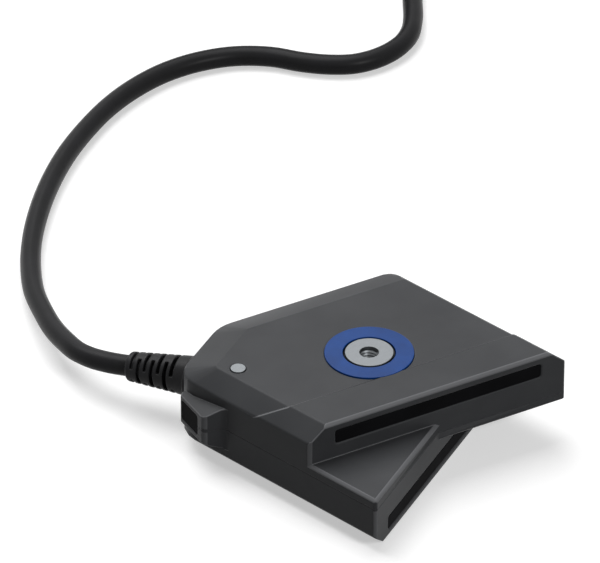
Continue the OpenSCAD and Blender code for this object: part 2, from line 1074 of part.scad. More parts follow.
// A tube through a row of points, with its end rings square to the given directions
function heading(p, i, first, last) =
    i == 0 ? first : i == len(p) - 1 ? last : unit(p[i + 1] - p[i - 1]);
function ring(c, t) =
    let (a = unit(cross(t, [0, 0, 1])), b = cross(a, t))
        [for (k = [0 : cord_sides - 1])
            c + cable_d / 2 * (cos(360 * k / cord_sides) * a + sin(360 * k / cord_sides) * b)];

module cord(p, first, last) {
    n = len(p);
    m = cord_sides;
    points = [for (i = [0 : n - 1]) each ring(p[i], heading(p, i, first, last))];
    faces = concat(
        [[for (k = [0 : m - 1]) k]],
        [for (i = [0 : n - 2], k = [0 : m - 1])
            let (a = i * m + k, b = i * m + (k + 1) % m) each [[a, a + m, b], [b, a + m, b + m]]],
        [[for (k = [m - 1 : -1 : 0]) (n - 1) * m + k]]
    );
    polyhedron(points, faces);
}

module cable_lead() {
    color(cable_black)
        cord(concat([boot_tip], lead_route, [entry_point]), boot_dir, entry_dir);
}

module cable_tail() {
    color(cable_black)
        cord(concat([exit_point], tail_route, [plug_start]), exit_dir, [-1, 0, 0]);
}

// The coil's outer form, with the two short ends that leave it
coil_w = 2 * coil_half_w + cable_d;
coil_h = (coil_layers - 1) * coil_rise + cable_d;

module stub(place, ang) {
    translate(place)
        rotate([0, 0, ang])
            rotate([0, 90, 0])
                cylinder(h = stub_len, d = cable_d - 2 * fit);
}

module cable_coil() {
    color(cable_black) {
        translate([coil_x, coil_y, strap_t])
            rotate_extrude()
                translate([coil_mean_r, coil_h / 2])
                    polygon(rounded(coil_w, coil_h, cable_d / 2));
        stub(entry_point, coil_entry + 90);
        stub(exit_point, coil_exit - 90);
    }
}

module strap_plan(t) {
    polygon(rounded(coil_w + 2 * (strap_slack + t), coil_h + 2 * t, cable_d / 2 + t));
}

module coil_straps() {
    color(rubber_black)
        for (a = strap_turns)
            translate([coil_x, coil_y, strap_t + coil_h / 2])
                rotate([0, 0, a])
                    translate([coil_mean_r, strap_w / 2, 0])
                        rotate([90, 0, 0])
                            linear_extrude(strap_w)
                                difference() {
                                    strap_plan(strap_t);
                                    strap_plan(0);
                                }
}

// Plug at the cable's far end, with its axis toward -X
tail_len = 13;
shoulder_len = 3;
grip_bevel = 1;
grip_groove = 0.8;
grip_count = 12;
grip_rear = 2;
grip_front = 4;
neck_wall = 2.5;
tail_wall = 1.2;
barrel_len = 18;
barrel_wall = 1.6;
pin_wall = 2.2;
key_w = 3;
key_h = 1.2;
key_start = 6;
oring_r = 1;
oring_z = 3.1;
oring_out = 0.2;
pin_bed_t = 9;
pin_bed_floor = 3;
pin_d = 1.6;
pin_len = 10;
pin_ring_r = barrel_d / 2 - barrel_wall - pin_wall;

module plug_frame() {
    translate(plug_start)
        rotate([0, -90, 0])
            children();
}

module plug_body() {
    r = plug_d / 2;
    neck_r = cable_d / 2 + neck_wall;
    grip_z = tail_len + shoulder_len;
    color(rubber_black)
        plug_frame()
            difference() {
                rotate_extrude()
                    polygon([
                        [0, 0], [cable_d / 2 + tail_wall, 0], [neck_r, tail_len], [r, grip_z],
                        [r, plug_len - grip_bevel], [r - grip_bevel, plug_len], [0, plug_len]
                    ]);
                for (i = [0 : grip_count - 1])
                    rotate([0, 0, 360 * (i + 0.5) / grip_count])
                        translate([r + grip_groove, 0, grip_z + grip_rear])
                            cylinder(h = plug_len - grip_z - grip_rear - grip_front, r = 2 * grip_groove);
            }
}

module oring_form(gap) {
    translate([0, 0, oring_z])
        rotate_extrude()
            translate([barrel_d / 2 + oring_out, 0])
                circle(oring_r + gap);
}

module plug_barrel() {
    color(chip_grey)
        plug_frame()
            translate([0, 0, plug_len])
                difference() {
                    union() {
                        cylinder(h = barrel_len, d = barrel_d);
                        translate([0, -key_w / 2, key_start])
                            cube([barrel_d / 2 + key_h, key_w, barrel_len - key_start]);
                    }
                    translate([0, 0, -lap])
                        cylinder(h = barrel_len + 2 * lap, d = barrel_d - 2 * barrel_wall);
                    oring_form(fit);
                }
}

module plug_oring() {
    color(seal_grey)
        plug_frame()
            translate([0, 0, plug_len])
                oring_form(0);
}

module pin_places() {
    children();
    for (i = [0 : pin_count - 1])
        rotate([0, 0, 360 * i / pin_count])
            translate([pin_ring_r, 0, 0])
                children();
}

module plug_insert() {
    color(rubber_black)
        plug_frame()
            translate([0, 0, plug_len])
                difference() {
                    cylinder(h = pin_bed_t, d = barrel_d - 2 * barrel_wall - 2 * fit);
                    translate([0, 0, pin_bed_floor])
                        pin_places()
                            cylinder(h = pin_bed_t, d = pin_d + 2 * fit);
                }
}

module plug_pins() {
    color(brass)
        plug_frame()
            translate([0, 0, plug_len + pin_bed_floor])
                pin_places() {
                    cylinder(h = pin_len - pin_d / 2, d = pin_d);
                    translate([0, 0, pin_len - pin_d / 2])
                        cylinder(h = pin_d / 2, d1 = pin_d, d2 = pin_d / 2);
                }
}

upper_shell();
lower_shell();
housing_seal();
housing_screws();
upper_window();
upper_matching();
upper_elements();
upper_backing();
upper_card();
lower_window();
lower_matching();
lower_elements();
lower_backing();
lower_card();
side_window();
side_element();
side_backing();
main_board();
board_screws();
board_chips();
shield_can();
attitude_sensor();
upper_ribbon();
lower_ribbon();
ribbon_sockets();
cable_header();
cable_core();
mount_insert();
mount_ring();
temperature_button();
thermistor();
cable_boot();
cable_lead();
cable_coil();
coil_straps();
cable_tail();
plug_body();
plug_barrel();
plug_oring();
plug_insert();
plug_pins();
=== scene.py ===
"""Looks of the sonar transducer: its finishes, rounded edges, cable and a plain studio."""

import logging
import math
from dataclasses import dataclass, field
from enum import Enum
from typing import Any

import bmesh
import bpy
from bmesh.types import BMEdge, BMesh, BMFace
from bpy.types import Material, Mesh, Node, NodeSocket, NodeTree, Object
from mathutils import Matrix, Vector
from mathutils.bvhtree import BVHTree
from mathutils.kdtree import KDTree


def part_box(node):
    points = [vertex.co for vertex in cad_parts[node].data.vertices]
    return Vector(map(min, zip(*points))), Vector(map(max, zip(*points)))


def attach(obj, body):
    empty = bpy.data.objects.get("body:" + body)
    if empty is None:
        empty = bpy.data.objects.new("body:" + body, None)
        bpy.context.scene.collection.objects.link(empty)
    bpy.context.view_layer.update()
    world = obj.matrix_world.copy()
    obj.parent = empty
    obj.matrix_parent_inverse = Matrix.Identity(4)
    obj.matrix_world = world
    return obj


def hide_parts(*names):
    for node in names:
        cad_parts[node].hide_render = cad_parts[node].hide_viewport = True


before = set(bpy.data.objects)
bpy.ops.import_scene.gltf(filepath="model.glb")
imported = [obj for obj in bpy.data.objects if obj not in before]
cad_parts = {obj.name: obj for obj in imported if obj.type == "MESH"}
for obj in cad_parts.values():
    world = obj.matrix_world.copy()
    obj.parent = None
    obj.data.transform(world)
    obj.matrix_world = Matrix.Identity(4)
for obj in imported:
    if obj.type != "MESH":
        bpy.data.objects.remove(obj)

LOG = logging.getLogger("transducer")
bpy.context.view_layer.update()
ROOT = "root"
MM = 0.001
FULL_TURN = 2 * math.pi
Point = tuple[float, float, float]

# Places on the case that its finish needs
SEAM_Z = 22.0 * MM
TOP_Z = 45.0 * MM
ARRAY_ANGLE = math.radians(17.6)
FRONT_REACH = 41.0 * MM
STRIP_WIDTH = 20.0 * MM
STRIP_LEAN = math.radians(37)

# Rims of the case that get a painted highlight, a paler colour in place of light glinting on them
RIM_HIGHLIGHT_MARK = "rim"
RIM_HIGHLIGHT_SHARE = 0.36
RIM_REACH = 6.0 * MM
RIM_STEP = 0.4 * MM
RIM_TURN = math.radians(6)
CHAMFER_WIDTH = 2.0 * MM
CHAMFER_SHARP_SHARE = 0.75
INLAY_GAP = 1.6 * MM
INLAYS = ("upper_window", "lower_window", "side_window", "mount_ring", "temperature_button")

# Limits within which points are one, slivers go and faces count as one flat
WELD = 0.002 * MM
SLIVER = 0.02 * MM
JOIN_TURN = math.radians(0.4)
FLAT_TURN = math.radians(0.6)


class EdgeRadius(Enum):
    """Width in millimetres of the rounding on a moulded, turned or cut edge."""

    CASE = 0.9
    RIB = 0.45
    RIM = 0.3
    TRIM = 0.15


def linear(hex_colour: str) -> tuple[float, float, float, float]:
    """Turns an sRGB hex colour to linear light.

    Args:
        hex_colour: Colour such as "#2b2c2e".

    Returns:
        Linear red, green, blue and an alpha of 1.
    """
    channels = [int(hex_colour[i:i + 2], 16) / 255 for i in (1, 3, 5)]
    light = [c / 12.92 if c <= 0.04045 else ((c + 0.055) / 1.055) ** 2.4 for c in channels]
    return (light[0], light[1], light[2], 1.0)


def per_metre(size_mm: float) -> float:
    """Gives the texture scale whose features repeat about every size_mm millimetres."""
    return 1 / (size_mm * MM)


def add_node(
    tree: NodeTree,
    kind: str,
    settings: dict[str | int, Any] | None = None,
    links: dict[str | int, NodeSocket] | None = None,
) -> Node:
    """Adds a shader node with its settings and incoming links.

    Args:
        tree: Node tree that gets the node.
        kind: Node type's short name, such as "TexNoise".
        settings: Values by input name or number, or by property name where there is no such input.
        links: Output sockets by the name or number of the input that they feed.

    Returns:
        The new node.
    """
    node = tree.nodes.new("ShaderNode" + kind)
    for name, value in (settings or {}).items():
        if isinstance(name, int) or name in node.inputs:
            node.inputs[name].default_value = value
        else:
            setattr(node, name, value)
    for name, socket in (links or {}).items():
        tree.links.new(socket, node.inputs[name])
    return node


def new_material(name: str) -> tuple[Material, NodeTree, NodeSocket]:
    """Makes an empty node material.

    Args:
        name: Name of the real material.

    Returns:
        The material, its node tree and the surface input of its output.
    """
    material = bpy.data.materials.new(name)
    material.use_nodes = True
    tree = material.node_tree
    tree.nodes.clear()
    output = tree.nodes.new("ShaderNodeOutputMaterial")
    return material, tree, output.inputs["Surface"]


@dataclass(frozen=True)
class DarkLine:
    """A plane along which a joint or a step keeps its own dark colour, where other edges get a painted
    highlight.
    """

    way: tuple[float, float, float]
    place: float
    reach: float = 1.2 * MM
    core: float = 0.6 * MM

    def open_share(self, tree: NodeTree, coords: NodeSocket) -> NodeSocket:
        """Gives a socket that is 0 at the line and 1 away from it.

        Args:
            tree: Node tree that gets the nodes.
            coords: Place on the piece.

        Returns:
            The socket.
        """
        along = add_node(tree, "VectorMath", {"operation": "DOT_PRODUCT", 1: self.way}, {0: coords})
        offset = add_node(
            tree, "Math", {"operation": "SUBTRACT", 1: self.place}, {0: along.outputs["Value"]}
        )
        distance = add_node(tree, "Math", {"operation": "ABSOLUTE"}, {0: offset.outputs["Value"]})
        share = add_node(
            tree,
            "MapRange",
            {"From Min": self.core, "From Max": self.reach},
            {"Value": distance.outputs["Value"]},
        )
        return share.outputs["Result"]


# Joint between the two shells
SEAM_LINE = DarkLine((0.0, 0.0, 1.0), SEAM_Z)
# Leaning step behind the raised strip
STRIP_BACK = STRIP_WIDTH - FRONT_REACH * math.cos(ARRAY_ANGLE)
STEP_LINE = DarkLine(
    (
        math.sin(ARRAY_ANGLE) * math.cos(STRIP_LEAN),
        math.cos(ARRAY_ANGLE) * math.cos(STRIP_LEAN),
        -math.sin(STRIP_LEAN),
    ),
    STRIP_BACK * math.cos(STRIP_LEAN) - TOP_Z * math.sin(STRIP_LEAN),
)


@dataclass(frozen=True)
class MouldedFinish:
    """A moulded, cast or extruded finish with a fine grain and soft clouds of tone.

    The grain is drawn coarser than the real one where it would be too fine to show. A finish with
    edge_mm gets a painted highlight, a paler colour along its edges, apart from its dark lines.
    """

    name: str
    slot: str
    tone: str
    pale: str
    roughness: float
    spread: float
    grain_mm: float
    grain_depth_mm: float
    cloud_mm: float
    specular: float = 0.3
    edge_mm: float = 0.0
    # Colour of the painted highlight along the edges
    highlight_tone: str = "#98999c"
    ior: float = 1.5
    dark_lines: tuple[DarkLine, ...] = ()
    grain_strength: float = 0.6
    tone_from: float = 0.3
    pale_from: float = 0.75
    edge_samples: int = 6
    # Turn of the normal over which the painted edge highlight comes in, and its strongest share
    highlight_from: float = 0.992
    highlight_to: float = 0.86
    highlight_share: float = 0.6

    def build(self) -> Material:
        """Builds the material from its tone, grain, clouds, soft edges and painted edge highlight.

        Returns:
            The material.
        """
        material, tree, surface = new_material(self.name)
        coords = add_node(tree, "TexCoord").outputs["Object"]
        cloud = add_node(
            tree, "TexNoise", {"Scale": per_metre(self.cloud_mm), "Detail": 3.0}, {"Vector": coords}
        )
        grain = add_node(
            tree, "TexNoise", {"Scale": per_metre(self.grain_mm), "Detail": 2.0}, {"Vector": coords}
        )
        tone = add_node(tree, "ValToRGB", {}, {"Fac": cloud.outputs["Fac"]})
        tone.color_ramp.elements[0].position = self.tone_from
        tone.color_ramp.elements[0].color = linear(self.tone)
        tone.color_ramp.elements[1].position = self.pale_from
        tone.color_ramp.elements[1].color = linear(self.pale)
        gloss = add_node(
            tree,
            "MapRange",
            {"To Min": self.roughness - self.spread, "To Max": self.roughness + self.spread},
            {"Value": grain.outputs["Fac"]},
        )
        bump = add_node(
            tree,
            "Bump",
            {"Strength": self.grain_strength, "Distance": self.grain_depth_mm * MM},
            {"Height": grain.outputs["Fac"]},
        )
        colour = tone.outputs["Color"]
        if self.edge_mm > 0:
            edge = add_node(
                tree, "Bevel", {"samples": self.edge_samples, "Radius": self.edge_mm * MM}
            )
            tree.links.new(edge.outputs["Normal"], bump.inputs["Normal"])
            # Painted highlight: where the rounded normal turns from the true one, and on marked rims,
            # the colour goes paler in place of light glinting on the edges
            surface_turn = add_node(
                tree,
                "VectorMath",
                {"operation": "DOT_PRODUCT"},
                {0: edge.outputs["Normal"], 1: add_node(tree, "NewGeometry").outputs["Normal"]},
            )
            edge_highlight = add_node(
                tree,
                "MapRange",
                {"From Min": self.highlight_from, "From Max": self.highlight_to, "To Max": self.highlight_share},
                {"Value": surface_turn.outputs["Value"]},
            )
            rim = add_node(tree, "Attribute", {"attribute_name": RIM_HIGHLIGHT_MARK})
            share = add_node(
                tree,
                "Math",
                {"operation": "MAXIMUM"},
                {0: edge_highlight.outputs["Result"], 1: rim.outputs["Fac"]},
            )
            for line in self.dark_lines:
                share = add_node(
                    tree,
                    "Math",
                    {"operation": "MULTIPLY"},
                    {0: share.outputs["Value"], 1: line.open_share(tree, coords)},
                )
            highlighted = add_node(
                tree,
                "MixRGB",
                {"Color2": linear(self.highlight_tone)},
                {"Fac": share.outputs["Value"], "Color1": colour},
            )
            colour = highlighted.outputs["Color"]
        shader = add_node(
            tree,
            "BsdfPrincipled",
            {"IOR": self.ior, "Specular IOR Level": self.specular},
            {
                "Base Color": colour,
                "Roughness": gloss.outputs["Result"],
                "Normal": bump.outputs["Normal"],
            },
        )
        tree.links.new(shader.outputs["BSDF"], surface)
        return material


@dataclass(frozen=True)
class BrushedMetalFinish:
    """A metal with fine straight brush marks, which give long soft streaks of light."""

    name: str
    slot: str
    tone: str
    pale: str
    roughness: float
    mark_mm: float
    mark_stretch: float
    mark_depth_mm: float
    mark_strength: float = 0.4
    spread: float = 0.25

    def build(self) -> Material:
        """Builds the material from stretched noise.

        Returns:
            The material.
        """
        material, tree, surface = new_material(self.name)
        coords = add_node(tree, "TexCoord").outputs["Object"]
        stretched = add_node(
            tree, "Mapping", {"Scale": (1 / self.mark_stretch, 1.0, 1.0)}, {"Vector": coords}
        )
        marks = add_node(
            tree,
            "TexNoise",
            {"Scale": per_metre(self.mark_mm), "Detail": 4.0},
            {"Vector": stretched.outputs["Vector"]},
        )
        tone = add_node(tree, "ValToRGB", {}, {"Fac": marks.outputs["Fac"]})
        tone.color_ramp.elements[0].color = linear(self.tone)
        tone.color_ramp.elements[1].color = linear(self.pale)
        gloss = add_node(
            tree,
            "MapRange",
            {
                "To Min": self.roughness * (1 - self.spread),
                "To Max": self.roughness * (1 + self.spread),
            },
            {"Value": marks.outputs["Fac"]},
        )
        bump = add_node(
            tree,
            "Bump",
            {"Strength": self.mark_strength, "Distance": self.mark_depth_mm * MM},
            {"Height": marks.outputs["Fac"]},
        )
        shader = add_node(
            tree,
            "BsdfPrincipled",
            {"Metallic": 1.0},
            {
                "Base Color": tone.outputs["Color"],
                "Roughness": gloss.outputs["Result"],
                "Normal": bump.outputs["Normal"],
            },
        )
        tree.links.new(shader.outputs["BSDF"], surface)
        return material


@dataclass(frozen=True)
class WovenFinish:
    """A woven strap: crossed threads at a real spacing, dull and soft."""

    name: str
    slot: str
    tone: str
    pale: str
    thread_mm: float
    thread_depth_mm: float = 0.2
    thread_strength: float = 0.7
    wander: float = 0.6
    roughness: float = 0.85
    sheen: float = 0.3

    def build(self) -> Material:
        """Builds the weave from two crossed waves.

        Returns:
            The material.
        """
        material, tree, surface = new_material(self.name)
        coords = add_node(tree, "TexCoord").outputs["Object"]
        threads = [
            add_node(
                tree,
                "TexWave",
                {
                    "bands_direction": way,
                    "Scale": per_metre(self.thread_mm) / FULL_TURN,
                    "Distortion": self.wander,
                },
                {"Vector": coords},
            ).outputs["Fac"]
            for way in ("DIAGONAL", "Z")
        ]
        weave = add_node(tree, "Math", {"operation": "MULTIPLY"}, {0: threads[0], 1: threads[1]})
        tone = add_node(tree, "ValToRGB", {}, {"Fac": weave.outputs["Value"]})
        tone.color_ramp.elements[0].color = linear(self.tone)
        tone.color_ramp.elements[1].color = linear(self.pale)
        bump = add_node(
            tree,
            "Bump",
            {"Strength": self.thread_strength, "Distance": self.thread_depth_mm * MM},
            {"Height": weave.outputs["Value"]},
        )
        shader = add_node(
            tree,
            "BsdfPrincipled",
            {"Roughness": self.roughness, "Sheen Weight": self.sheen},
            {"Base Color": tone.outputs["Color"], "Normal": bump.outputs["Normal"]},
        )
        tree.links.new(shader.outputs["BSDF"], surface)
        return material


@dataclass(frozen=True)
class BoardFinish:
    """A lacquered circuit board: green mask over paler copper tracks."""

    name: str
    slot: str
    tone: str
    track: str
    track_mm: float
    track_share: float = 0.04
    track_shift: float = 0.3
    track_depth_mm: float = 0.05
    track_strength: float = 0.3
    roughness: float = 0.3

    def build(self) -> Material:
        """Builds the board from a brick pattern of tracks.

        Returns:
            The material.
        """
        material, tree, surface = new_material(self.name)
        coords = add_node(tree, "TexCoord").outputs["Object"]
        tracks = add_node(
            tree,
            "TexBrick",
            {
                "Color1": linear(self.tone),
                "Color2": linear(self.tone),
                "Mortar": linear(self.track),
                "Scale": per_metre(self.track_mm),
                "Mortar Size": self.track_share,
                "offset": self.track_shift,
            },
            {"Vector": coords},
        )
        bump = add_node(
            tree,
            "Bump",
            {"Strength": self.track_strength, "Distance": self.track_depth_mm * MM},
            {"Height": tracks.outputs["Fac"]},
        )
        shader = add_node(
            tree,
            "BsdfPrincipled",
            {"Roughness": self.roughness},
            {"Base Color": tracks.outputs["Color"], "Normal": bump.outputs["Normal"]},
        )
        tree.links.new(shader.outputs["BSDF"], surface)
        return material


Finish = MouldedFinish | BrushedMetalFinish | WovenFinish | BoardFinish

# Glass-filled nylon from a spark-eroded mould: charcoal black with a satin, finely grained skin
CASE_NYLON = MouldedFinish(
    "moulded_nylon_black",
    "shell_plastic",
    "#3c3d3f",
    "#444547",
    roughness=0.4,
    spread=0.05,
    grain_mm=0.45,
    grain_depth_mm=0.01,
    cloud_mm=28.0,
    specular=0.08,
    # Edges rounded in the shading and painted paler as a highlight, apart from the seam and the step
    edge_mm=0.8,
    dark_lines=(SEAM_LINE, STEP_LINE),
)
# Cast polyurethane over the arrays: nearly black and smoother than the case
WINDOW_URETHANE = MouldedFinish(
    "cast_polyurethane", "window_urethane", "#161617", "#1b1b1d", 0.4, 0.03, 1.2, 0.004, 18.0, 0.005
)
# Moulded elastomer of the strain relief and the plug: dull black that lights up softly on its ribs
BOOT_ELASTOMER = MouldedFinish(
    "moulded_elastomer", "boot_rubber", "#202022", "#282829", 0.36, 0.05, 0.5, 0.008, 9.0, 0.1
)
# Extruded polyurethane jacket: satin black with one long soft highlight
CABLE_JACKET = MouldedFinish(
    "extruded_jacket", "cable_jacket", "#1d1d1e", "#232325", 0.36, 0.04, 0.7, 0.008, 14.0, 0.08
)
# Blue moulded nylon of the seat ring: a deep blue against the black case, darker than its own blue as
# painted shade from the mount over it
SEAT_NYLON = MouldedFinish(
    "moulded_nylon_blue", "seat_plastic", "#0a3570", "#0d3f82", 0.4, 0.05, 0.5, 0.01, 10.0, 0.15
)
# Nitrile rubber of the seal and the ring on the plug: dull dark grey
SEAL_RUBBER = MouldedFinish(
    "nitrile_rubber", "seal_rubber", "#3a3b3d", "#48494b", 0.55, 0.05, 0.4, 0.01, 6.0
)
# Moulded polyester of chips, sockets and the plug's barrel: plain dark grey
CONTACT_SHELL = MouldedFinish(
    "moulded_polyester", "chip_plastic", "#2c2d2f", "#353638", 0.45, 0.05, 0.4, 0.01, 8.0
)
# Fired ceramic of the elements: cream with a dry surface
ARRAY_CERAMIC = MouldedFinish(
    "fired_ceramic", "ceramic", "#cfc8b4", "#ddd6c4", 0.6, 0.08, 0.3, 0.01, 3.0
)
# Filled epoxy of the matching layers and the backings: dull brown
CAST_RESIN = MouldedFinish(
    "filled_epoxy", "resin", "#4c4439", "#5d5447", 0.55, 0.06, 0.6, 0.01, 7.0
)
# Polyimide film of the ribbons: clear amber with a smooth shine
FLEX_FILM = MouldedFinish(
    "polyimide_film", "flex_film", "#a3661f", "#ba7a2c", 0.3, 0.04, 0.6, 0.004, 5.0, 0.5
)
# Stainless steel with brush marks: pale grey with soft streaks
STAINLESS = BrushedMetalFinish(
    "brushed_stainless", "stainless", "#595c5e", "#7d8083", 0.44, 0.12, 30.0, 0.01
)
# Gold-plated brass of the contacts: warm and bright
PLATED_CONTACT = BrushedMetalFinish(
    "plated_brass", "contact_brass", "#c09a45", "#d8b663", 0.22, 0.1, 12.0, 0.004
)
# Woven nylon of the ties: dull dark threads
STRAP_WEAVE = WovenFinish("woven_nylon", "strap_fabric", "#1c1c1f", "#323236", 0.9)
# Lacquered board: green with paler tracks
BOARD_LACQUER = BoardFinish("lacquered_board", "circuit_board", "#14502f", "#2f7a4d", 3.2)


class Workshop:
    """Makes each finish once and dresses pieces with it."""

    def __init__(self) -> None:
        """Starts with no material made."""
        self._made: dict[str, Material] = {}

    def material(self, finish: Finish) -> Material:
        """Gives the finish's material, made on first use.

        Args:
            finish: Finish to make.

        Returns:
            Its material.
        """
        if finish.name not in self._made:
            self._made[finish.name] = finish.build()
        return self._made[finish.name]

    def dress(self, piece: Object, finish: Finish) -> None:
        """Puts the finish on a piece as its only material and reports it.

        Args:
            piece: Object to dress.
            finish: Finish that it gets.
        """
        piece.data.materials.clear()
        piece.data.materials.append(self.material(finish))
        LOG.info("%s: %s", piece.name, finish.name)

    def place(self, piece: Object, finish: Finish, *nodes: str) -> Object:
        """Dresses a new piece, lets it ride on the part and stand for its nodes.

        Args:
            piece: New piece, in place in the part's frame.
            finish: Finish that it gets.
            nodes: Names of the solids that it stands for.

        Returns:
            The piece.
        """
        self.dress(piece, finish)
        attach(piece, ROOT)
        if nodes:
            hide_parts(*nodes)
        return piece


def link_mesh(name: str, shape: BMesh) -> Object:
    """Turns a bmesh into a linked object with smooth faces and frees the bmesh.

    Args:
        name: Name of the new object.
        shape: Mesh in the part's frame, in metres.

    Returns:
        The new object.
    """
    mesh = bpy.data.meshes.new(name)
    for face in shape.faces:
        face.smooth = True
    shape.to_mesh(mesh)
    shape.free()
    piece = bpy.data.objects.new(name, mesh)
    bpy.context.scene.collection.objects.link(piece)
    return piece


def solid_copy(node: str) -> BMesh:
    """Copies a solid's triangles as one welded mesh of flat faces.

    Args:
        node: Name of the solid.

    Returns:
        The copy, in the part's frame.
    """
    shape = bmesh.new()
    shape.from_mesh(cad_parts[node].data)
    bmesh.ops.remove_doubles(shape, verts=shape.verts, dist=WELD)
    bmesh.ops.dissolve_degenerate(shape, edges=shape.edges, dist=SLIVER)
    bmesh.ops.dissolve_limit(shape, angle_limit=JOIN_TURN, verts=shape.verts, edges=shape.edges)
    bmesh.ops.triangulate(shape, faces=shape.faces, quad_method="BEAUTY", ngon_method="BEAUTY")
    bmesh.ops.recalc_face_normals(shape, faces=shape.faces)
    return shape


def flat_regions(shape: BMesh) -> list[list[BMFace]]:
    """Groups the faces of a mesh by the flat region that they lie in.

    Args:
        shape: Mesh to look at.

    Returns:
        The faces of each flat region.
    """
    found = set()
    regions = []
    for seed in shape.faces:
        if seed in found:
            continue
        region = [seed]
        found.add(seed)
        for face in region:
            for edge in face.edges:
                for other in edge.link_faces:
                    if other not in found and edge.calc_face_angle(0.0) < FLAT_TURN:
                        found.add(other)
                        region.append(other)
        regions.append(region)
    return regions


def shade_by_region(mesh: Mesh, limit_deg: float) -> None:
    """Lets flat regions shade flat and the roundings between them shade smoothly.

    Args:
        mesh: Finished mesh.
        limit_deg: Widest angle across which the shading runs on.
    """
    shape = bmesh.new()
    shape.from_mesh(mesh)
    areas = {}
    for region in flat_regions(shape):
        areas.update(dict.fromkeys(region, sum(face.calc_area() for face in region)))
    nearest = math.cos(math.radians(limit_deg))
    normals = []
    for face in shape.faces:
        for vert in face.verts:
            normal = face.normal * areas[face]
            for other in vert.link_faces:
                if other is not face and other.normal.dot(face.normal) > nearest:
                    normal = normal + other.normal * areas[other]
            normals.append(normal.normalized() if normal.length > 0 else Vector((0.0, 0.0, 1.0)))
    shape.free()
    mesh.normals_split_custom_set(normals)


